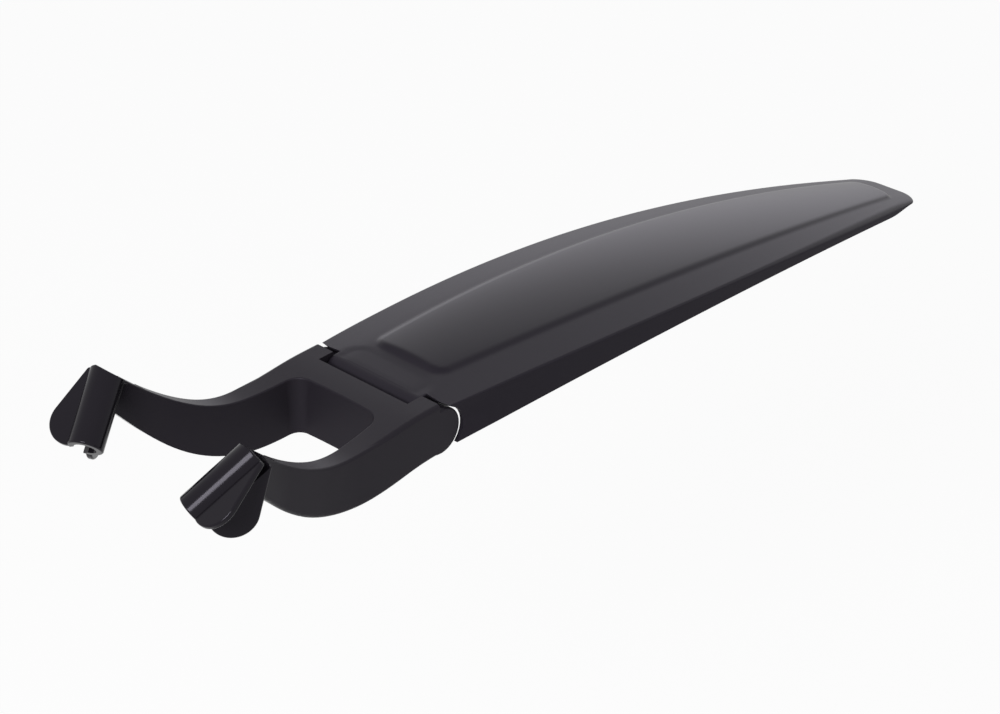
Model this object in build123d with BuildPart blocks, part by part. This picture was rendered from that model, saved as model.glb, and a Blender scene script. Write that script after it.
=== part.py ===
# Clip-on rear mudguard for a saddle's rails: a springy fork bracket, and a long arched blade hinged to it.
# Millimetres. +X runs rearwards to the blade's tip, +Z is up. The origin is midway between the clips.
import os
from math import cos, radians, sin

from build123d import *

# Rail clips
rail_radius = 3.5
rail_half_spacing = 28.3
rail_rise = 38.0
rail_splay = 26.5
clip_length = 25.3
clip_wall = 2.1
clip_edge_radius = 0.6
clip_trim_lift = 0.1
throat_width = 5.2
mouth_tilt = 37.0
front_lip_length = 8.0
front_lip_flare = 30.0
rear_lip_length = 11.3
rear_lip_flare = 45.0
lip_thickness = 2.0
lip_root_angle = 42.0
lip_root = 1.5
lip_top_radius = 0.9
lip_round_radius = 7.8
lip_edge_radius = 0.6

# Hinge
hinge_x = 92.5
hinge_z = -26.25
pin_radius = 2.0
pin_seat_clearance = 0.02
pin_running_clearance = 0.05
pin_blind_wall = 2.2
pin_recess = 0.3
pin_end_gap = 0.3
pin_chamfer = 0.4
knuckle_radius = 8.4
barrel_radius = 6.4
barrel_heel = -20.0
nose_radius = 4.4
nose_drop = 0.35
hinge_gap = 0.7
side_gap = 0.4

# Fork bracket
fork_half_width = 28.1
top_rise = 10.7
crown_drop = 1.5
crown_front = 8.2
crown_run = 28.0
crown_edge_radius = 1.5
notch_half_width = 20.0
notch_depth = 7.7
ear_step = 1.1
window_rear = 18.8
window_bow = 0.7
window_half_width = 18.4
window_corner = 6.0
window_draft = 3.5
window_edge_radius = 0.6
arm_outer_reach = 32.4
arm_tip_width = 6.4
arm_start = 38.0
arm_knee = 60.0
knee_top = 6.4
knee_bottom = 5.8
belly_drop = 1.9
crossbar_drop = 1.3
arm_depth = 10.3
arm_top_angle = 43.0
arm_belly_angle = 49.0
fork_edge_radius = 0.9
belly_edge_radius = 1.6

# Blade
blade_front = 1.7
front_corner_run = 2.7
front_corner_width = 2.6
blade_length = 314.4
blade_half_width = 34.0
widest_at = 107.0
tip_half_width = 14.09
arch_slope = 0.029
arch_radius = 1400.0
wall = 1.8
skirt_front = 16.0
skirt_tip = 2.4
skirt_edge_radius = 0.8
tip_corner = 9.0
panel_front = 12.7
panel_tip_gap = 15.4
panel_half_width = 19.9
panel_widest_at = 130.0
panel_tip_half_width = 9.7
panel_pitch = 0.163
panel_step = 0.9
panel_ledge = 0.6
panel_front_corner = 5.0
panel_rear_corner = 4.0
panel_edge_radius = 0.5
tongue_start = 8.5
tongue_lift = 0.1
section_count = 9

# Places that follow from the sizes above
top_z = hinge_z + top_rise
clip_radius = rail_radius + clip_wall
fork_depth = top_rise + knuckle_radius
crown_foot = -crown_drop - 2 * crown_edge_radius
arm_inner_reach = arm_outer_reach - arm_tip_width
tongue_half_width = notch_half_width - side_gap
panel_rear = blade_length - panel_tip_gap
plan_radius = (blade_length - widest_at) ** 2 / (2 * (blade_half_width - tip_half_width))
panel_plan_radius = (panel_rear - panel_widest_at) ** 2 / (2 * (panel_half_width - panel_tip_half_width))
side_plane = Plane(origin=(hinge_x, 0, top_z), x_dir=(1, 0, 0), z_dir=(0, -1, 0))
hinge_plane = Plane(origin=(hinge_x, 0, hinge_z), x_dir=(1, 0, 0), z_dir=(0, -1, 0))
plan_plane = Plane(origin=(hinge_x, 0, top_z))
rail_axis = Vector(
    cos(radians(rail_rise)) * cos(radians(rail_splay)),
    cos(radians(rail_rise)) * sin(radians(rail_splay)),
    sin(radians(rail_rise)),
)


# The clip's plane: its normal runs up the rail and its x axis points out of the mouth.
def clip_plane(side):
    across = Vector(-sin(radians(rail_splay)), cos(radians(rail_splay)), 0)
    steep = rail_axis.cross(across)
    mouth = across * cos(radians(mouth_tilt)) - steep * sin(radians(mouth_tilt))
    return Plane(
        origin=(0, side * rail_half_spacing, 0),
        x_dir=(mouth.X, side * mouth.Y, mouth.Z),
        z_dir=(rail_axis.X, side * rail_axis.Y, rail_axis.Z),
    )


# A lip's middle plane: x runs down the clip from its top end, y runs out along the flare.
def lip_plane(side, turn, flare):
    base = clip_plane(side)
    root_x = clip_radius * cos(radians(lip_root_angle))
    root_y = turn * clip_radius * sin(radians(lip_root_angle))
    out = base.x_dir * cos(radians(flare)) + base.y_dir * turn * sin(radians(flare))
    corner = base.origin + base.x_dir * root_x + base.y_dir * root_y + base.z_dir * (clip_length / 2)
    down = base.z_dir * -1
    return Plane(origin=corner, x_dir=down, z_dir=down.cross(out))


# Half width of the blade at a distance behind the hinge.
def half_width(x):
    return blade_half_width - (x - widest_at) ** 2 / (2 * plan_radius)


# Height of the blade's outer edge against the fork's flat top.
def edge_z(x):
    return -crown_drop - arch_slope * x - x**2 / (2 * arch_radius)


# Depth of the side skirt, fading towards the tip.
def skirt(x):
    return skirt_tip + (skirt_front - skirt_tip) * (1 - x / blade_length) ** 2


# Half width and height of the raised panel along the blade's middle.
def panel_half(x):
    return panel_half_width - (x - panel_widest_at) ** 2 / (2 * panel_plan_radius)


def panel_z(x):
    return edge_z(x) + panel_pitch * panel_half(x)


# Corners of the blade's cross-section, moved inwards by a wall, with sides of a given depth.
def blade_section(x, inset, depth):
    side = half_width(x) - inset
    ledge = panel_half(x) + panel_ledge
    edge = top_z + edge_z(x)
    crown = top_z + panel_z(x) - panel_step
    return [
        (side, edge - depth),
        (side, edge - inset),
        (ledge, crown - inset),
        (-ledge, crown - inset),
        (-side, edge - inset),
        (-side, edge - depth),
    ]


# Corners of a slab that holds the panel's height, its foot sunk half-way into the blade.
def panel_section(x):
    head = top_z + panel_z(x)
    foot = head - panel_step - wall / 2
    return [
        (blade_half_width, foot),
        (blade_half_width, head),
        (-blade_half_width, head),
        (-blade_half_width, foot),
    ]


# Plan of the blade's tip, moved inwards by a wall: sides that touch the outline, and round corners.
def tip_plan(inset):
    touch = blade_length - tip_corner
    slope = (touch - widest_at) / plan_radius
    front = -2 * notch_depth
    tip = blade_length - inset
    front_side = half_width(touch) - inset + slope * (touch - front)
    tip_side = half_width(touch) - inset - slope * (tip - touch)
    with BuildSketch(plan_plane.offset(-blade_length)) as plan:
        with BuildLine():
            Polyline((front, front_side), (tip, tip_side), (tip, -tip_side), (front, -front_side), close=True)
        make_face()
        fillet(plan.vertices().sort_by(Axis.X)[-2:], tip_corner - inset)
    return plan.sketch


# The edges of some faces that run along the bracket, clear of its clips.
def long_rims(faces):
    along = faces.edges().filter_by(lambda e: abs(e.tangent_at(0.5).X) > 0.5)
    return along.filter_by(lambda e: (e @ 0.5).X > clip_length / 2)


# The upper edges of some upright faces, clear of the bracket's clips.
def upper_rims(faces):
    upper = faces.edges().filter_by(lambda e: min((e @ 0).Z, (e @ 1).Z) > hinge_z)
    return upper.filter_by(lambda e: (e @ 0.5).X > clip_length / 2)


# One teardrop lip of a given length, lying on its middle plane.
def teardrop(length):
    with BuildPart() as lip:
        with BuildSketch(Plane.XY.offset(-lip_thickness / 2)):
            with Locations((lip_top_radius, 0)):
                Circle(lip_top_radius)
            with Locations((clip_length - lip_round_radius, length - lip_round_radius)):
                Circle(lip_round_radius)
            make_hull()
            with Locations((0, -lip_root)):
                Rectangle(3 * clip_length, 2 * length, align=(Align.CENTER, Align.MAX), mode=Mode.SUBTRACT)
        extrude(amount=lip_thickness)
        rim = lip.edges().filter_by(Plane.XY).filter_by_position(Axis.Y, -lip_root / 2, 2 * length)
        fillet(rim, lip_edge_radius)
    return lip.part


def stations(start, end):
    return [start + (end - start) * k / (section_count - 1) for k in range(section_count)]


# Places where the arm meets its clip, seen from the side and counted from the hinge
clip_top_x = rail_axis.X * clip_length / 2 - hinge_x
clip_top_z = rail_axis.Z * clip_length / 2 - top_z
foot_x = clip_top_x - rail_axis.X * arm_depth
foot_z = clip_top_z - rail_axis.Z * arm_depth
top_direction = (-cos(radians(arm_top_angle)), sin(radians(arm_top_angle)))
belly_direction = (cos(radians(arm_belly_angle)), -sin(radians(arm_belly_angle)))
clip_reach = Vector(*top_direction) * 2 * clip_radius
window_slope = (arm_inner_reach - window_half_width) / (-clip_top_x - window_rear)
window_front = -foot_x + clip_radius
window_front_half = window_half_width + window_slope * (window_front - window_rear)

# Solid of one clip's tube, before its bore and mouth are cut
with BuildPart() as tube:
    with BuildSketch(Plane.XY.offset(-clip_length / 2)):
        Circle(clip_radius)
    extrude(amount=clip_length)
    fillet(tube.edges().filter_by(GeomType.CIRCLE), clip_edge_radius)

# Raised flat of the crossbar, sloping down to the arms, with well rounded sides
with BuildPart() as crown:
    with BuildSketch(side_plane.offset(-fork_half_width)):
        with BuildLine():
            head = Line((-ear_step, 0), (-crown_front, 0))
            sloped = Spline(
                head @ 1,
                (-crown_front - crown_run, -crown_drop),
                tangents=[(-1, 0), (-1, 0)],
            )
            Polyline(sloped @ 1, (-crown_front - crown_run, crown_foot), (-ear_step, crown_foot), head @ 0)
        make_face()
    extrude(amount=2 * fork_half_width)
    brow = crown.faces().filter_by(lambda f: f.normal_at().Z > 0.5).edges()
    fillet(brow.filter_by(lambda e: abs(e.tangent_at(0.5).X) > 0.5), crown_edge_radius)

# The round end of the fork's two ears, still in one length
with BuildPart() as knuckle:
    with BuildSketch(hinge_plane):
        Circle(knuckle_radius)
    extrude(amount=fork_half_width, both=True)
    fillet(knuckle.edges().filter_by(GeomType.CIRCLE), fork_edge_radius)

# Plan of the space between the arms
with BuildSketch(plan_plane) as window:
    with BuildLine():
        back = ThreePointArc(
            (-window_rear, -window_half_width),
            (-window_rear + window_bow, 0),
            (-window_rear, window_half_width),
        )
        Polyline(
            back @ 1,
            (-window_front, window_front_half),
            (-window_front, -window_front_half),
            back @ 0,
        )
    make_face()
    fillet(window.vertices().sort_by(Axis.X)[-2:], window_corner)

front_lip = teardrop(front_lip_length)
rear_lip = teardrop(rear_lip_length)

with BuildPart() as fork:
    # Side view of the crossbar and arms
    with BuildSketch(side_plane.offset(-2 * fork_half_width)):
        with BuildLine():
            flat = Line((-ear_step, -crown_drop), (-arm_start, -crown_drop))
            top = Spline(
                flat @ 1,
                (-arm_knee, -crown_drop + knee_top),
                (clip_top_x, clip_top_z),
                tangents=[(-1, 0), top_direction],
            )
            end = Line(top @ 1, (foot_x, foot_z))
            belly = Spline(
                end @ 1,
                (-arm_knee, -fork_depth + knee_bottom),
                (-arm_start, -fork_depth - belly_drop),
                (-window_rear, -fork_depth - crossbar_drop),
                (-ear_step, -fork_depth),
                tangents=[belly_direction, (1, 0)],
            )
            Line(belly @ 1, flat @ 0)
        make_face()
    extrude(amount=4 * fork_half_width)
    # Outer plan of the bracket
    with BuildSketch(plan_plane.offset(-4 * fork_depth)):
        with BuildLine():
            rear = Line((-ear_step, 0), (-ear_step, fork_half_width))
            straight = Line(rear @ 1, (-arm_start, fork_half_width))
            outer = Spline(
                straight @ 1,
                (clip_top_x, arm_outer_reach),
                tangents=[(-1, 0), (clip_top_x + arm_start, arm_outer_reach - fork_half_width)],
            )
            Polyline(
                outer @ 1,
                (foot_x - clip_radius, arm_outer_reach),
                (foot_x - clip_radius, 0),
            )
            mirror(about=Plane.XZ)
        make_face()
    extrude(amount=8 * fork_depth, mode=Mode.INTERSECT)
    fillet(long_rims(fork.faces().filter_by(lambda f: f.normal_at().Z > 0.5)), fork_edge_radius)
    fillet(long_rims(fork.faces().filter_by(lambda f: f.normal_at().Z < -0.5)), belly_edge_radius)
    add(crown.part)
    # Space between the arms, narrowing downwards
    extrude(window.sketch, amount=2 * fork_depth, taper=-window_draft, mode=Mode.SUBTRACT)
    extrude(window.sketch, amount=-2 * fork_depth, taper=window_draft, mode=Mode.SUBTRACT)
    walls = fork.faces(Select.LAST).filter_by(lambda f: abs(f.normal_at().Z) < 0.5)
    fillet(upper_rims(walls), window_edge_radius)
    # Ears and the notch between them
    add(knuckle.part)
    with BuildSketch(plan_plane):
        with Locations((-notch_depth, 0)):
            Rectangle(4 * notch_depth, 2 * notch_half_width, align=(Align.MIN, Align.CENTER))
    extrude(amount=2 * fork_depth, both=True, mode=Mode.SUBTRACT)
    # Clips for the saddle's rails
    for side in (1, -1):
        with Locations(clip_plane(side)):
            add(tube.part)
        with Locations(lip_plane(side, side, front_lip_flare)):
            add(front_lip)
        with Locations(lip_plane(side, -side, rear_lip_flare)):
            add(rear_lip)
        with BuildSketch(clip_plane(side)):
            Circle(rail_radius)
            Rectangle(2 * rear_lip_length, throat_width, align=(Align.MIN, Align.CENTER))
        extrude(amount=clip_length / 2 + clip_wall, both=True, mode=Mode.SUBTRACT)
    # The clips' tops trimmed to the slope of the arms
    with BuildSketch(side_plane.offset(-2 * fork_half_width)):
        with BuildLine():
            brink = top @ 1 + Vector(0, clip_trim_lift)
            slope = Line(brink - clip_reach, brink + clip_reach)
            Polyline(slope @ 1, brink + Vector(clip_radius, 2 * clip_radius), slope @ 0)
        make_face()
    extrude(amount=4 * fork_half_width, mode=Mode.SUBTRACT)
    # Pin seat, open at the far ear and blind in the near one
    with BuildSketch(hinge_plane.offset(-fork_half_width)):
        Circle(pin_radius + pin_seat_clearance)
    extrude(amount=2 * fork_half_width - pin_blind_wall, mode=Mode.SUBTRACT)

# Side view of the tongue: nearly level with the ears, then rolled down in front of the hinge's barrel
with BuildSketch(side_plane) as tongue:
    with BuildLine():
        tongue_z = panel_z(tongue_start) - panel_step + tongue_lift
        level = Line((tongue_start, tongue_z), (-barrel_radius, tongue_z - nose_drop))
        Line(level @ 1, (-barrel_radius, -top_rise))
        around = CenterArc((0, -top_rise), barrel_radius, 180, 180 + barrel_heel)
        Polyline(
            around @ 1,
            (tongue_start + wall, panel_z(tongue_start) - panel_step - wall / 2),
            level @ 0,
        )
    make_face()
    fillet(tongue.vertices().sort_by_distance(level @ 1)[:1], nose_radius)

# Room in front of the blade for the fork's ears, with the tongue left standing between them
with BuildPart() as room:
    with BuildSketch(side_plane):
        with Locations((0, -top_rise)):
            Circle(knuckle_radius + hinge_gap)
        with Locations((blade_front, 0)):
            Rectangle(4 * notch_depth, 4 * fork_depth, align=(Align.MAX, Align.CENTER))
    extrude(amount=2 * fork_half_width, both=True)
    with BuildSketch(side_plane):
        with Locations((tongue_start, 0)):
            Rectangle(4 * notch_depth, 4 * fork_depth, align=(Align.MAX, Align.CENTER))
    extrude(amount=tongue_half_width, both=True)
    extrude(tongue.sketch, amount=tongue_half_width, both=True, mode=Mode.SUBTRACT)
    # The blade's front corners, swept back
    with BuildSketch(plan_plane.offset(-knuckle_radius)):
        with BuildLine():
            inner_end = (blade_front, half_width(blade_front) - front_corner_width)
            outer_end = (blade_front + 2 * front_corner_run, half_width(blade_front) + front_corner_width)
            Polyline(inner_end, outer_end, (blade_front, outer_end[1]), close=True)
        make_face()
        mirror(about=Plane.XZ)
    extrude(amount=2 * knuckle_radius)

# The hollow under the blade, with the tongue left standing in it
with BuildPart() as hollow:
    for x in stations(blade_front - wall, blade_length):
        with BuildSketch(Plane.YZ.offset(hinge_x + x)):
            with BuildLine():
                Polyline(*blade_section(x, wall, 2 * skirt_front), close=True)
            make_face()
    loft()
    extrude(tip_plan(wall), amount=2 * blade_length, mode=Mode.INTERSECT)
    extrude(tongue.sketch, amount=tongue_half_width, both=True, mode=Mode.SUBTRACT)

# The raised panel: a slab that follows the blade, cut to the panel's plan
with BuildPart() as panel:
    for x in stations(panel_front - wall, panel_rear + wall):
        with BuildSketch(Plane.YZ.offset(hinge_x + x)):
            with BuildLine():
                Polyline(*panel_section(x), close=True)
            make_face()
    loft()
    with BuildSketch(plan_plane.offset(-blade_length)) as panel_plan:
        with BuildLine():
            bow = ThreePointArc(
                (panel_front, panel_half(panel_front)),
                (panel_widest_at, panel_half_width),
                (panel_rear, panel_half(panel_rear)),
            )
            Line(bow @ 0, (panel_front, 0))
            Line(bow @ 1, (panel_rear, 0))
            mirror(about=Plane.XZ)
        make_face()
        corners = panel_plan.vertices().sort_by(lambda v: abs(v.Y))[-4:].sort_by(Axis.X)
        fillet(corners[:2], panel_front_corner)
        fillet(corners[-2:], panel_rear_corner)
    extrude(amount=2 * blade_length, mode=Mode.INTERSECT)
    fillet(panel.faces().sort_by(Axis.Z)[-1].edges(), panel_edge_radius)

with BuildPart() as blade:
    for x in stations(-notch_depth, blade_length + wall):
        with BuildSketch(Plane.YZ.offset(hinge_x + x)):
            with BuildLine():
                Polyline(*blade_section(x, 0, skirt(x)), close=True)
            make_face()
    loft()
    sides = blade.edges().filter_by(lambda e: e.length > blade_length / 2)
    outer_sides = sides.sort_by(lambda e: abs((e @ 0.5).Y))[-4:]
    fillet(outer_sides.sort_by(lambda e: (e @ 0.5).Z)[-2:], skirt_edge_radius)
    extrude(tip_plan(0), amount=2 * blade_length, mode=Mode.INTERSECT)
    add(panel.part)
    add(hollow.part, mode=Mode.SUBTRACT)
    add(room.part, mode=Mode.SUBTRACT)
    with BuildSketch(hinge_plane):
        Circle(pin_radius + pin_running_clearance)
    extrude(amount=fork_half_width, both=True, mode=Mode.SUBTRACT)

# Plain steel pin, pushed in from the far ear
with BuildPart() as pin:
    with BuildSketch(hinge_plane.offset(-(fork_half_width - pin_recess))):
        Circle(pin_radius)
    extrude(amount=2 * fork_half_width - pin_recess - pin_blind_wall - pin_end_gap)
    chamfer(pin.edges(), pin_chamfer)

fork.part.label = "fork_bracket"
blade.part.label = "blade"
pin.part.label = "hinge_pin"
os.makedirs("parts", exist_ok=True)
export_step(fork.part, "parts/fork_bracket.step")
export_step(blade.part, "parts/blade.step")
export_step(pin.part, "parts/hinge_pin.step")
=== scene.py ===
from math import cos, radians, sin

import bmesh
import bpy
import numpy as np
from mathutils import Matrix


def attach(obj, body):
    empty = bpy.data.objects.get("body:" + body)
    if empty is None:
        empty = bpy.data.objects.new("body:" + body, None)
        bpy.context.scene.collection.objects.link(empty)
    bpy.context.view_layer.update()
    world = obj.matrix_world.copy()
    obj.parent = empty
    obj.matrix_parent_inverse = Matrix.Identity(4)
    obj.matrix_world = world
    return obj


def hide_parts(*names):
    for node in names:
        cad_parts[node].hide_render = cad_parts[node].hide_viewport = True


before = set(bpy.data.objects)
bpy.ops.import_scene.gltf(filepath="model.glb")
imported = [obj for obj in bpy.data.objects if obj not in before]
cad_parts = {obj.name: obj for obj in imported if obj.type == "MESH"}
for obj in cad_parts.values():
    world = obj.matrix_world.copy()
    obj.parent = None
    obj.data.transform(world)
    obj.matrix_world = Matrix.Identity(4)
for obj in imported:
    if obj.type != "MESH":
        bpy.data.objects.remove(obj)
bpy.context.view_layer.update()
mm = 0.001
print("frame loaded:", sorted(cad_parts))


# Small tools shared by all pieces

weld = dict(rims=2e-6, slivers=1e-6, facets=1e-6)  # merging distances in metres


def softStep(low, high, value):  # 0 below low, 1 above high, an S-curve between them
    t = np.clip((value - low) / (high - low), 0, 1)
    return t * t * (3 - 2 * t)


def spread(*runs):  # runs of (from, to, cells) joined end to end, each point once
    parts = [np.linspace(start, stop, cells, endpoint=False) for start, stop, cells in runs]
    return np.concatenate(parts + [[runs[-1][1]]])


def gridFaces(rows, cols, first):  # four corners of each cell of a grid whose first point has number first
    i, j = np.meshgrid(np.arange(rows - 1), np.arange(cols - 1), indexing="ij")
    corner = first + i * cols + j
    return np.stack([corner, corner + 1, corner + cols + 1, corner + cols], -1).reshape(-1, 4)


def meshFromGrids(name, grids):  # grids share their rims; the rims are merged and the faces turned outwards
    points = np.concatenate([g.reshape(-1, 3) for g in grids]) * mm
    firsts = np.cumsum([0] + [g.shape[0] * g.shape[1] for g in grids])
    faces = np.concatenate([gridFaces(g.shape[0], g.shape[1], f) for g, f in zip(grids, firsts)])
    mesh = bpy.data.meshes.new(name)
    mesh.from_pydata(points.tolist(), [], faces.tolist())
    work = bmesh.new()
    work.from_mesh(mesh)
    bmesh.ops.remove_doubles(work, verts=work.verts, dist=weld["rims"])
    bmesh.ops.dissolve_degenerate(work, edges=work.edges, dist=weld["slivers"])
    bmesh.ops.recalc_face_normals(work, faces=work.faces)
    work.to_mesh(mesh)
    work.free()
    return mesh


def addPiece(name, mesh, body, material, replaced, sharpAbove):  # smooth below that many degrees
    mesh.polygons.foreach_set("use_smooth", np.ones(len(mesh.polygons), bool))
    mesh.set_sharp_from_angle(angle=radians(sharpAbove))
    piece = bpy.data.objects.new(name, mesh)
    bpy.context.scene.collection.objects.link(piece)
    mesh.materials.clear()
    mesh.materials.append(material)
    evenNormals = piece.modifiers.new("evenNormals", "WEIGHTED_NORMAL")
    evenNormals.keep_sharp = True
    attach(piece, body)
    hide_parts(replaced)
    print("piece", name, len(mesh.vertices), "points")


def readRows(items, name):  # a vector property of all points or faces, one row each
    flat = np.empty(len(items) * 3, np.float32)
    items.foreach_get(name, flat)
    return flat.reshape(-1, 3)


def writeShare(mesh, name, domain, share):  # an attribute that the finishes read
    layer = mesh.attributes.new(name, "FLOAT", domain)
    layer.data.foreach_set("value", share.astype(np.float32))


def markSides(mesh, facing):  # matt attribute: 1 on faces that look sideways, 0 on tops and undersides
    upwards = np.abs(readRows(mesh.polygons, "normal")[:, 2])
    writeShare(mesh, "matt", "FACE", 1 - softStep(*facing, upwards))


# Finishes: one node set for the moulded plastic, one for the steel pin

mixSockets = dict(FLOAT=(2, 3, 0), RGBA=(6, 7, 2))  # numbers of a Mix node's two inputs and its output


def addNode(tree, kind, **values):  # each value goes to the property of that name, or else to the input
    node = tree.nodes.new(kind)
    for key, value in values.items():
        if hasattr(node, key):
            setattr(node, key, value)
        else:
            node.inputs[key.replace("_", " ")].default_value = value
    return node


def mixed(tree, kind, factor, first, second, how="MIX"):  # first at factor 0, second at 1: sockets or values
    node = addNode(tree, "ShaderNodeMix", data_type=kind, blend_type=how)
    firstAt, secondAt, resultAt = mixSockets[kind]
    tree.links.new(factor, node.inputs[0])
    for at, value in ((firstAt, first), (secondAt, second)):
        if isinstance(value, bpy.types.NodeSocket):
            tree.links.new(value, node.inputs[at])
        else:
            node.inputs[at].default_value = value
    return node.outputs[resultAt]


def noise(tree, place, scale, detail, roughness):
    node = addNode(tree, "ShaderNodeTexNoise", Scale=scale, Detail=detail, Roughness=roughness)
    tree.links.new(place, node.inputs["Vector"])
    return node.outputs["Fac"]


def rescaled(tree, value, low, high):  # 0 to 1 becomes low to high
    node = addNode(tree, "ShaderNodeMapRange", To_Min=low, To_Max=high)
    tree.links.new(value, node.inputs["Value"])
    return node.outputs["Result"]


def newMaterial(name):
    material = bpy.data.materials.new(name)
    material.use_nodes = True
    return material, material.node_tree


moulding = dict(cloudDetail=3.0, cloudBreak=0.6, grainScale=2600.0, grainDetail=2.0, grainBreak=0.55,
                grainBump=0.20, grainDepth=0.00006, glossBump=0.05, satinSpread=0.04)
bladeFinish = dict(dark=(0.0096, 0.0080, 0.0117), light=(0.0113, 0.0094, 0.0138), cloudScale=60.0,
                   rough=0.40, sideRough=0.72, glossRough=0.30, glossTone=0.8,
                   shine=0.20, shineTint=(0.88, 0.82, 1.0))
bracketFinish = dict(dark=(0.0128, 0.0109, 0.0148), light=(0.0150, 0.0127, 0.0172), cloudScale=70.0,
                     rough=0.42, sideRough=0.56, glossRough=0.12, glossTone=0.62,
                     shine=0.16, shineTint=(0.90, 0.86, 1.0))


def mouldedPlastic(name, finish):  # satin charcoal with a cloudy tone, smoother by gloss, rougher by matt
    material, tree = newMaterial(name)
    link = tree.links.new
    shader = tree.nodes["Principled BSDF"]
    shader.inputs["Specular IOR Level"].default_value = finish["shine"]
    shader.inputs["Specular Tint"].default_value = (*finish["shineTint"], 1)
    place = addNode(tree, "ShaderNodeTexCoord").outputs["Object"]
    gloss = addNode(tree, "ShaderNodeAttribute", attribute_name="gloss").outputs["Fac"]
    matt = addNode(tree, "ShaderNodeAttribute", attribute_name="matt").outputs["Fac"]

    cloud = noise(tree, place, finish["cloudScale"], moulding["cloudDetail"], moulding["cloudBreak"])
    tone = mixed(tree, "RGBA", cloud, (*finish["dark"], 1), (*finish["light"], 1))
    deepened = (finish["glossTone"],) * 3 + (1,)
    link(mixed(tree, "RGBA", gloss, tone, deepened, "MULTIPLY"), shader.inputs["Base Color"])

    grain = noise(tree, place, moulding["grainScale"], moulding["grainDetail"], moulding["grainBreak"])
    low, high = finish["rough"] - moulding["satinSpread"], finish["rough"] + moulding["satinSpread"]
    duller = addNode(tree, "ShaderNodeMath", operation="MULTIPLY_ADD")
    link(matt, duller.inputs[0])
    duller.inputs[1].default_value = finish["sideRough"] - finish["rough"]
    link(rescaled(tree, grain, low, high), duller.inputs[2])
    link(mixed(tree, "FLOAT", gloss, duller.outputs[0], finish["glossRough"]), shader.inputs["Roughness"])

    bump = addNode(tree, "ShaderNodeBump", Distance=moulding["grainDepth"])
    faint = moulding["grainBump"] * moulding["glossBump"]
    link(rescaled(tree, gloss, moulding["grainBump"], faint), bump.inputs["Strength"])
    link(grain, bump.inputs["Height"])
    link(bump.outputs["Normal"], shader.inputs["Normal"])
    return material


bladePlastic = mouldedPlastic("bladePlastic", bladeFinish)
bracketPlastic = mouldedPlastic("bracketPlastic", bracketFinish)

pinFinish = dict(dark=(0.30, 0.30, 0.31), light=(0.52, 0.52, 0.53), rough=(0.26, 0.40),
                 stretch=(900.0, 60.0, 900.0), streakDetail=4.0, streakBreak=0.5)


def turnedSteel(name, finish):  # fine streaks along the pin, drawn in tone and roughness
    material, tree = newMaterial(name)
    link = tree.links.new
    shader = tree.nodes["Principled BSDF"]
    shader.inputs["Metallic"].default_value = 1.0
    stretch = addNode(tree, "ShaderNodeMapping", Scale=finish["stretch"])
    link(addNode(tree, "ShaderNodeTexCoord").outputs["Object"], stretch.inputs["Vector"])
    streak = noise(tree, stretch.outputs["Vector"], 1.0, finish["streakDetail"], finish["streakBreak"])
    tone = mixed(tree, "RGBA", streak, (*finish["dark"], 1), (*finish["light"], 1))
    link(tone, shader.inputs["Base Color"])
    link(rescaled(tree, streak, *finish["rough"]), shader.inputs["Roughness"])
    return material


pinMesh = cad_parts["hinge_pin"].data
pinMesh.materials.clear()
pinMesh.materials.append(turnedSteel("pinSteel", pinFinish))
print("finishes ready")


# Blade: an arched shell whose top, side skirts and end are grids over distance behind the hinge and width.
# Millimetres, counted from the hinge axis (x), the middle (y) and the fork's flat top (z).

blade = dict(
    # outline in plan, and the arch of its outer edge
    front=1.7, length=314.4, halfWidth=34.0, widestAt=107.0, planRadius=1080.0, tipCorner=9.0,
    edgeDrop=1.5, archSlope=0.029, archRadius=1400.0,
    # wall, thinner at the front edge, and side skirts
    wall=1.8, rimWall=0.6, skirtRim=1.4, rimRun=8.0,
    skirtFront=12.4, skirtPower=2.2, skirtTail=2.4, skirtEnd=1.0, skirtFade=(0.90, 0.985),
    sweep=1.2, leanReach=3.0, earRadius=9.1, cornerRun=1.0, cornerWidth=3.0, warpEnd=24.0,
    # rolled outer edge: radius at the front, in the middle and at the tip, and where it changes
    edgeRadius=(0.5, 0.9, 2.6), edgeFront=(5.0, 40.0), edgeRear=(120.0, 290.0), rollShare=0.8,
    # raised panel
    panelFront=12.7, panelRear=299.0, panelHalf=19.9, panelWidestAt=130.0, panelPlanRadius=1400.0,
    panelPitch=0.163, panelStep=0.9, panelLedge=0.6, panelCorner=(5.0, 4.0), stepWidth=0.95,
    panelCrown=1.1, crownReach=1.2, footBend=9.0,
    # hinge tongue and its place in the part
    hingeX=92.5, topZ=-15.55, hingeZ=-10.7, tongueHalf=19.6, creaseX=9.4, creaseSlope=0.03,
    recess=0.18, recessHalf=18.0, recessCorner=6.5, recessEdge=2.0, easeFrom=-3.0, tuck=0.12, tuckRun=1.0,
    barrelRadius=4.9, noseRadius=4.4, heel=-20.0, boreRadius=2.05, sideRound=0.5,
    backStep=0.9, backShare=0.6,
    # finish: how deep in the wall the top reaches, which faces are sides, and the sharp edges in degrees
    topShare=0.6, sideFacing=(0.3, 0.7), sharpAbove=40,
)
bladeGrid = dict(
    frontEnd=22.0, rearStart=288.0, frontCells=46, middleCells=84, rearCells=30, tipPoints=26, skirtPoints=9,
    rampPoints=13, finePoints=9, rollPoints=10, panelMost=0.62, rollMost=0.2, stepReach=2.4, stepMost=0.3,
    tonguePoints=60, nosePoints=24, barrelPoints=60, sidePoints=6, middlePoints=60,
)


def halfWidth(x):  # widest a third of the way back, falling off with the square of the distance from there
    return blade["halfWidth"] - (x - blade["widestAt"]) ** 2 / (2 * blade["planRadius"])


def edgeHeight(x):  # outer edge: a slight slope plus an arch
    return -blade["edgeDrop"] - blade["archSlope"] * x - x ** 2 / (2 * blade["archRadius"])


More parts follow.
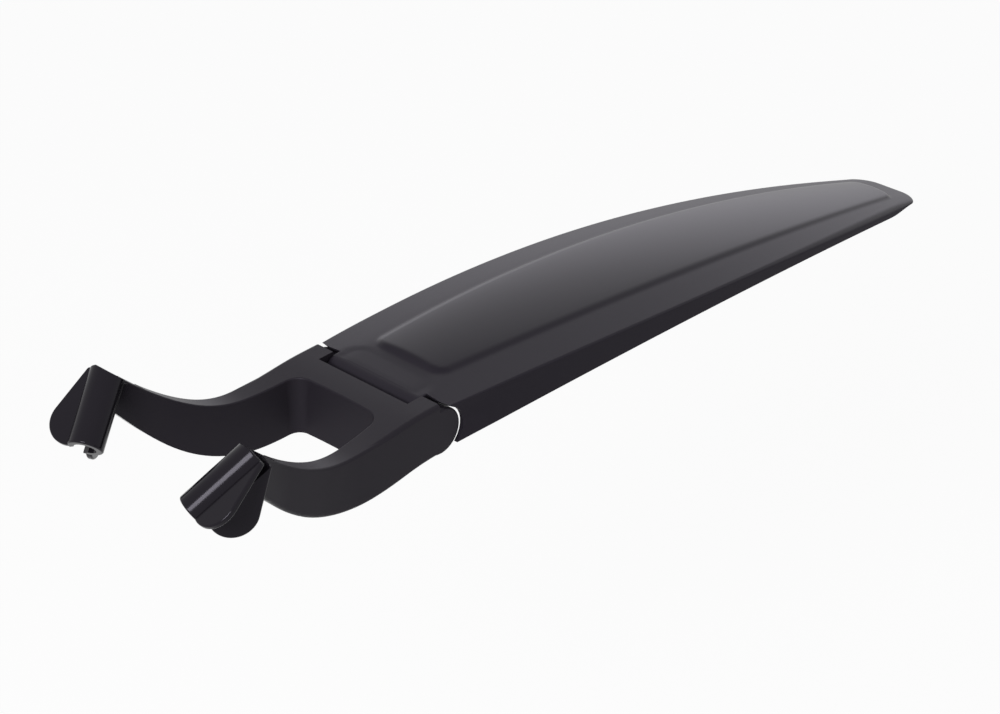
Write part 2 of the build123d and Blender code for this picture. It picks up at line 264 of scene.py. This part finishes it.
def skirtDepth(x):  # deep at the front, nearly even along the rear half, running out at the tip
    share = np.clip(x / blade["length"], 0, 1)
    tail = blade["skirtTail"] * (1 - softStep(*blade["skirtFade"], share))
    return blade["skirtFront"] * (1 - share) ** blade["skirtPower"] + tail + blade["skirtEnd"]


def panelHalf(x):  # like the outline: a parabola about the panel's widest place
    return blade["panelHalf"] - (x - blade["panelWidestAt"]) ** 2 / (2 * blade["panelPlanRadius"])


def bandHeight(x, side):  # straight rise from the outer edge to the panel's foot, then a soft bend to level
    foot = panelHalf(x) + blade["panelLedge"]
    rise = blade["panelPitch"] * panelHalf(x) - blade["panelStep"]
    short = (side - foot) / (halfWidth(x) - foot)
    return edgeHeight(x) + rise * (1 - np.logaddexp(0, blade["footBend"] * short) / blade["footBend"])


def roundedInside(across, along, radius):  # distance inside a round corner, from those to its sides
    u = radius - across
    v = radius - along
    return np.where((u > 0) & (v > 0), radius - np.hypot(u, v), np.minimum(across, along))


def panelInside(x, side):  # distance inside the panel's outline, below 0 outside it
    across = panelHalf(x) - side
    frontEnd = roundedInside(across, x - blade["panelFront"], blade["panelCorner"][0])
    rearEnd = roundedInside(across, blade["panelRear"] - x, blade["panelCorner"][1])
    return np.minimum(frontEnd, rearEnd)


def panelShare(x, side):  # 1 on the panel, 0 off it, a hyperbolic tangent over its edge
    return 0.5 + 0.5 * np.tanh(panelInside(x, side) / blade["stepWidth"])


def tipWidth(x, inset):  # half width in plan with the tip's round corners
    radius = blade["tipCorner"] - inset
    into = np.clip(x - (blade["length"] - blade["tipCorner"]), 0, radius)
    return halfWidth(x) - inset - radius + np.sqrt(np.maximum(radius ** 2 - into ** 2, 0))


def edgeRadius(x):  # two S-curves one after the other, front to middle and middle to tip
    front, middle, tip = blade["edgeRadius"]
    toMiddle = (middle - front) * softStep(*blade["edgeFront"], x)
    return front + toMiddle + (tip - middle) * softStep(*blade["edgeRear"], x)


creaseZ = float(bandHeight(np.array(blade["creaseX"]), np.array(0.0)))


def tongueLine(x):  # just below the crease, then a slight fall to the nose
    return creaseZ - blade["recess"] - blade["creaseSlope"] * (blade["creaseX"] - x)


def tongueDrop(x, side):  # a shallow recess with round corners, soft at its edge, behind the nose
    inside = roundedInside(blade["recessHalf"] - side, blade["creaseX"] - x, blade["recessCorner"])
    depth = blade["recess"] + blade["creaseSlope"] * np.maximum(blade["creaseX"] - x, 0)
    return depth * softStep(-blade["recessEdge"], blade["recessEdge"], inside)


def topHeight(x, side):  # band, panel and its slight crown, less the tongue's recess and the rolled edge
    share = panelShare(x, side)
    crown = blade["panelCrown"] * (1 - np.clip(side / panelHalf(x), 0, blade["crownReach"]) ** 2)
    radius = edgeRadius(x)
    inside = np.clip(roundedInside(halfWidth(x) - side, blade["length"] - x, blade["tipCorner"]), 0, radius)
    fall = np.minimum(radius, blade["rollShare"] * skirtDepth(x))
    rolled = fall * (1 - np.sqrt(np.maximum(1 - (1 - inside / radius) ** 2, 0)))
    return bandHeight(x, side) + share * (blade["panelStep"] + crown) - tongueDrop(x, side) - rolled


def warpFront(x, frontAt):  # slides the first rows back so that they start at frontAt
    front, far = blade["front"], blade["warpEnd"]
    moved = frontAt + (x - front) * (far - frontAt) / (far - front)
    return np.where(x < far, moved, x)


def frontOfTop(x, side):  # the front edge, swept back in a straight line at the outer corners
    corner = (side - halfWidth(x) + blade["cornerWidth"]) / blade["cornerWidth"]
    return blade["front"] + blade["cornerRun"] * np.clip(corner, 0, 1)


def frontOfSkirt(z):  # leans back below the corner, then follows the ear's round end
    arcX = np.sqrt(np.maximum(blade["earRadius"] ** 2 - (z - blade["hingeZ"]) ** 2, 0))
    lean = blade["sweep"] * np.clip(-blade["edgeDrop"] - z, 0, blade["leanReach"])
    return np.maximum(blade["front"] + blade["cornerRun"] + lean, arcX)


def placed(x, y, z):  # into the part's frame
    return np.stack([x + blade["hingeX"], y, z + blade["topZ"]], -1)


def bladeRows():  # places along the blade, close at both ends, by a sine round the tip's corners
    cornerAt = blade["length"] - blade["tipCorner"]
    middle, rear = bladeGrid["frontEnd"], bladeGrid["rearStart"]
    along = spread(
        (blade["front"], middle, bladeGrid["frontCells"]), (middle, rear, bladeGrid["middleCells"]),
        (rear, cornerAt, bladeGrid["rearCells"]))
    swing = np.linspace(0, np.pi / 2, bladeGrid["tipPoints"])[1:]
    return np.concatenate([along, blade["length"] - blade["tipCorner"] * (1 - np.sin(swing))])


rowX = bladeRows()
levels = np.linspace(0, 1, bladeGrid["skirtPoints"])


def columns(x, half, roll):  # places across one half, closer at the panel's edge and the rolled edge
    panel = np.minimum(panelHalf(x), bladeGrid["panelMost"] * half)[:, None]
    edge = half[:, None]
    roll = np.minimum(roll, bladeGrid["rollMost"] * half)[:, None]
    near = np.minimum(bladeGrid["stepReach"], bladeGrid["stepMost"] * panel)
    ramp = np.linspace(0, 1, bladeGrid["rampPoints"])[None, :-1]
    fine = np.linspace(0, 1, bladeGrid["finePoints"])[None, :-1]
    turn = np.sin(np.linspace(0, np.pi / 2, bladeGrid["rollPoints"]))[None]
    return np.concatenate([
        (panel - near) * ramp, panel - near + near * fine, panel + near * fine,
        panel + near + (edge - roll - panel - near) * ramp, edge - roll + roll * turn], 1)


def wallAt(x, rim):  # thin at the front edge, full a little behind it
    front = blade["front"]
    return blade[rim] + (blade["wall"] - blade[rim]) * softStep(front, front + blade["rimRun"], x)


def bladeSkin(inner):  # top, two skirts and end face of the outer skin (inner 0) or the inner one (1)
    front, length = blade["front"], blade["length"]
    end = length - blade["wall"] * inner
    x = front + (rowX - front) * (end - front) / (length - front)
    half = tipWidth(rowX, wallAt(rowX, "skirtRim") * inner)
    across = columns(x, half, edgeRadius(x))
    across = np.concatenate([-across[:, :0:-1], across], 1)
    alongRow = np.repeat(x[:, None], across.shape[1], 1)
    side = np.abs(across)
    alongRow = warpFront(alongRow, frontOfTop(alongRow, side + wallAt(alongRow, "skirtRim") * inner))
    height = topHeight(alongRow, side)
    if inner:
        band = bandHeight(alongRow, side) - wallAt(alongRow, "rimWall")
        height = np.minimum(band, height - blade["rimWall"])
    top = placed(alongRow, across, height)

    def skirt(column, sign):  # straight down from the top's outer edge to the skirt's lower edge
        upper = height[:, column][:, None]
        lower = (edgeHeight(x) - skirtDepth(x))[:, None]
        z = upper + (lower - upper) * levels[None]
        run = warpFront(np.repeat(x[:, None], len(levels), 1), frontOfSkirt(z))
        run[:, 0] = alongRow[:, column]
        return placed(run, np.repeat(sign * half[:, None], len(levels), 1), z)

    upper = height[-1][None]
    lower = edgeHeight(x[-1]) - skirtDepth(x[-1])
    z = upper + (lower - upper) * levels[:, None]
    endFace = placed(np.full_like(z, x[-1]), np.repeat(across[-1][None], len(levels), 0), z)
    return top, skirt(0, -1), skirt(-1, 1), endFace


def between(first, second):  # a strip of cells from one line of points to another
    return np.stack([first, second], 0)


outer = bladeSkin(0)
inner = bladeSkin(1)
rims = [
    between(outer[1][:, -1], inner[1][:, -1]), between(outer[2][:, -1], inner[2][:, -1]),
    between(outer[3][-1], inner[3][-1]), between(outer[0][0], inner[0][0]),
    between(outer[1][0], inner[1][0]), between(outer[2][0], inner[2][0])]


def tongueTop(x, side):  # eases from the blade's front edge to the nose; behind the edge, tucked under
    front = np.full_like(x, blade["front"])
    start = topHeight(front, side) - tongueLine(front)
    eased = tongueLine(x) + start * softStep(blade["easeFrom"], blade["front"], x)
    tucked = blade["tuck"] * softStep(blade["front"], blade["front"] + blade["tuckRun"], x)
    hidden = topHeight(np.maximum(x, blade["front"]), side) - tucked
    return np.where(x > blade["front"], hidden, eased)


def arc(x, z, radius, angle):  # points round a centre
    return np.stack([x + radius * np.cos(angle), z + radius * np.sin(angle)], -1)


def tongueProfile():  # top line, round nose, barrel and way back to the crease: a loop of (x, z)
    noseX = blade["noseRadius"] - blade["barrelRadius"]
    noseZ = tongueLine(noseX) - blade["noseRadius"]
    topX = np.linspace(blade["creaseX"], noseX, bladeGrid["tonguePoints"])
    top = np.stack([topX, tongueLine(topX)], -1)
    turn = np.radians(np.linspace(90, 180, bladeGrid["nosePoints"]))[1:]
    nose = arc(noseX, noseZ, blade["noseRadius"], turn)
    swing = np.radians(np.linspace(180, 360 + blade["heel"], bladeGrid["barrelPoints"]))
    barrel = arc(0.0, blade["hingeZ"], blade["barrelRadius"], swing)
    back = np.array([[blade["creaseX"] + blade["backStep"], creaseZ - blade["wall"] * blade["backShare"]]])
    return topX, np.concatenate([top, nose, barrel, back, top[:1]])


def outwards(loop):  # unit normals of a closed loop, square to the line between each point's neighbours
    way = np.roll(loop[:-1], -1, 0) - np.roll(loop[:-1], 1, 0)
    normal = np.stack([way[:, 1], -way[:, 0]], -1) / np.linalg.norm(way, axis=1)[:, None]
    return np.concatenate([normal, normal[:1]])


def tongueGrids():  # the profile and its bore carried across the width, with small rounds at both sides
    topX, loop = tongueProfile()
    swing = np.linspace(0, np.pi / 2, bladeGrid["sidePoints"])
    cut = blade["sideRound"] * (1 - np.sin(swing))
    sideY = blade["tongueHalf"] - blade["sideRound"] * (1 - np.cos(swing))
    middle = np.linspace(-sideY[-1], sideY[-1], bladeGrid["middlePoints"])[1:-1]
    y = np.concatenate([-sideY, middle, sideY[::-1]])
    inset = np.concatenate([cut, np.zeros_like(middle), cut[::-1]])
    ring = loop[None] - outwards(loop)[None] * inset[:, None, None]
    topRows = np.repeat(topX[None], len(y), 0)
    sideRows = np.repeat(np.abs(y)[:, None], len(topX), 1)
    ring[:, :len(topX), 1] += tongueTop(topRows, sideRows) - tongueLine(topRows)
    ring[:, -1] = ring[:, 0]
    skin = placed(ring[..., 0], np.repeat(y[:, None], len(loop), 1), ring[..., 1])
    bearing = np.arctan2(loop[:, 1] - blade["hingeZ"], loop[:, 0])
    bore = np.repeat(arc(0.0, blade["hingeZ"], blade["boreRadius"], bearing)[None], 2, 0)
    hole = placed(bore[..., 0], np.repeat(y[[0, -1]][:, None], len(loop), 1), bore[..., 1])
    return [skin, hole, between(skin[0], hole[0]), between(skin[-1], hole[-1])]


def markPanel(mesh):  # gloss attribute: 1 on the panel's top, 0 elsewhere
    co = readRows(mesh.vertices, "co") / mm
    x, side, z = co[:, 0] - blade["hingeX"], np.abs(co[:, 1]), co[:, 2] - blade["topZ"]
    onTop = z > bandHeight(x, side) - blade["topShare"] * blade["wall"]
    writeShare(mesh, "gloss", "POINT", panelShare(x, side) * onTop)


bladeMesh = meshFromGrids("bladeShell", [*outer, *inner, *rims, *tongueGrids()])
addPiece("bladeShell", bladeMesh, "guard", bladePlastic, "blade", blade["sharpAbove"])
markPanel(bladeMesh)
markSides(bladeMesh, blade["sideFacing"])


# Fork bracket: the CAD shape with its facets smoothed; the clips are glossier than the rest

bracket = dict(glossFull=4.0, glossEnd=24.0, clipGloss=0.95, sideFacing=(0.3, 0.7), sharpAbove=36)


def smoothCopy(node, name):  # merged, and free of the normals that the import fixed
    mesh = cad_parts[node].data.copy()
    mesh.name = name
    work = bmesh.new()
    work.from_mesh(mesh)
    bmesh.ops.remove_doubles(work, verts=work.verts, dist=weld["facets"])
    work.to_mesh(mesh)
    work.free()
    if "custom_normal" in mesh.attributes:
        mesh.attributes.remove(mesh.attributes["custom_normal"])
    return mesh


def markClips(mesh):  # gloss attribute: full on the clips, fading out along the arms
    x = readRows(mesh.vertices, "co")[:, 0] / mm
    share = bracket["clipGloss"] * (1 - softStep(bracket["glossFull"], bracket["glossEnd"], x))
    writeShare(mesh, "gloss", "POINT", share)


bracketMesh = smoothCopy("fork_bracket", "forkBracket")
markClips(bracketMesh)
markSides(bracketMesh, bracket["sideFacing"])
addPiece("forkBracket", bracketMesh, "bracket", bracketPlastic, "fork_bracket",
         bracket["sharpAbove"])


# Stage: pale floor, white surround, soft lamps and the camera. Metres.

stage = dict(floorZ=-0.27, floorSize=8.0, floorTone=0.80, whiteShare=0.94, ambient=0.25)
white = (1, 1, 1, 1)


def backgroundRays(tree):  # 1 for rays that should meet a white background, 0 for the rest
    path = addNode(tree, "ShaderNodeLightPath")
    total = path.outputs["Is Camera Ray"]
    for kind in ("Is Glossy Ray", "Is Transmission Ray"):
        joined = addNode(tree, "ShaderNodeMath", operation="MAXIMUM")
        tree.links.new(total, joined.inputs[0])
        tree.links.new(path.outputs[kind], joined.inputs[1])
        total = joined.outputs[0]
    return total


def mixedShader(tree, first, second, **values):
    node = addNode(tree, "ShaderNodeMixShader", **values)
    tree.links.new(first.outputs[0], node.inputs[1])
    tree.links.new(second.outputs[0], node.inputs[2])
    return node


def makeFloor():  # lights the part as a matt pale sheet, and looks white with a little of the shadow
    half = stage["floorSize"] / 2
    mesh = bpy.data.meshes.new("floor")
    corners = [(-half, -half), (half, -half), (half, half), (-half, half)]
    mesh.from_pydata([(x, y, stage["floorZ"]) for x, y in corners], [], [(0, 1, 2, 3)])
    floor = bpy.data.objects.new("floor", mesh)
    bpy.context.scene.collection.objects.link(floor)
    material, tree = newMaterial("paleFloor")
    tree.nodes.remove(tree.nodes["Principled BSDF"])
    matte = addNode(tree, "ShaderNodeBsdfDiffuse", Color=(stage["floorTone"],) * 3 + (1,))
    bright = addNode(tree, "ShaderNodeBsdfDiffuse", Color=white)
    glow = addNode(tree, "ShaderNodeEmission", Color=white, Strength=1.0)
    seen = mixedShader(tree, bright, glow, Fac=stage["whiteShare"])
    pick = mixedShader(tree, matte, seen)
    tree.links.new(backgroundRays(tree), pick.inputs[0])
    tree.links.new(pick.outputs[0], tree.nodes["Material Output"].inputs["Surface"])
    mesh.materials.append(material)


def makeWorld():  # a soft fill for the part, white where it is seen
    world = bpy.data.worlds.new("studio")
    bpy.context.scene.world = world
    world.use_nodes = True
    tree = world.node_tree
    fill = tree.nodes["Background"]
    fill.inputs["Color"].default_value = white
    fill.inputs["Strength"].default_value = stage["ambient"]
    seen = addNode(tree, "ShaderNodeBackground", Color=white, Strength=1.0)
    pick = mixedShader(tree, fill, seen)
    tree.links.new(backgroundRays(tree), pick.inputs[0])
    tree.links.new(pick.outputs[0], tree.nodes["World Output"].inputs["Surface"])


def lookAt(at, aim, roll=0.0):  # local -Z points from at to aim, local X is level and then rolled by degrees
    back = np.array(at) - np.array(aim)
    back = back / np.linalg.norm(back)
    level = np.cross([0.0, 0.0, 1.0], back)
    level = level / np.linalg.norm(level)
    right = cos(radians(roll)) * level + sin(radians(roll)) * np.cross(back, level)
    turn = np.eye(4)
    turn[:3, :3] = np.stack([right, np.cross(back, right), back], -1)
    turn[:3, 3] = at
    return Matrix(turn.tolist())


lamps = dict(
    key=dict(at=(-0.72, -0.24, 0.62), size=(0.46, 0.46), power=9.0, colour=(1.0, 1.0, 1.0)),
    horizon=dict(at=(1.40, 0.84, 0.20), size=(1.6, 0.5), power=1.7, colour=(0.90, 0.86, 1.0)),
)
lampAim = (0.18, 0.0, -0.03)  # near the middle of the part


def makeLamp(name, lamp):  # a soft box
    light = bpy.data.lights.new(name, "AREA")
    light.shape = "RECTANGLE"
    light.size, light.size_y = lamp["size"]
    light.energy = lamp["power"]
    light.color = lamp["colour"]
    holder = bpy.data.objects.new(name, light)
    bpy.context.scene.collection.objects.link(holder)
    holder.matrix_world = lookAt(lamp["at"], lampAim)


camera = dict(at=(-0.34754, -0.42777, 0.35750), aim=(0.15266, 0.0, -0.03584), roll=1.618,
              lens=79.57, sensor=36.0, clip=(0.01, 50.0))


def makeCamera():
    data = bpy.data.cameras.new("photoView")
    data.lens = camera["lens"]
    data.sensor_width = camera["sensor"]
    data.sensor_fit = "HORIZONTAL"
    data.clip_start, data.clip_end = camera["clip"]
    holder = bpy.data.objects.new("photoView", data)
    bpy.context.scene.collection.objects.link(holder)
    holder.matrix_world = lookAt(camera["at"], camera["aim"], camera["roll"])
    bpy.context.scene.camera = holder


makeFloor()
makeWorld()
for lampName, lampValues in lamps.items():
    makeLamp(lampName, lampValues)
makeCamera()
bpy.context.scene.view_settings.view_transform = "Standard"
print("stage ready")
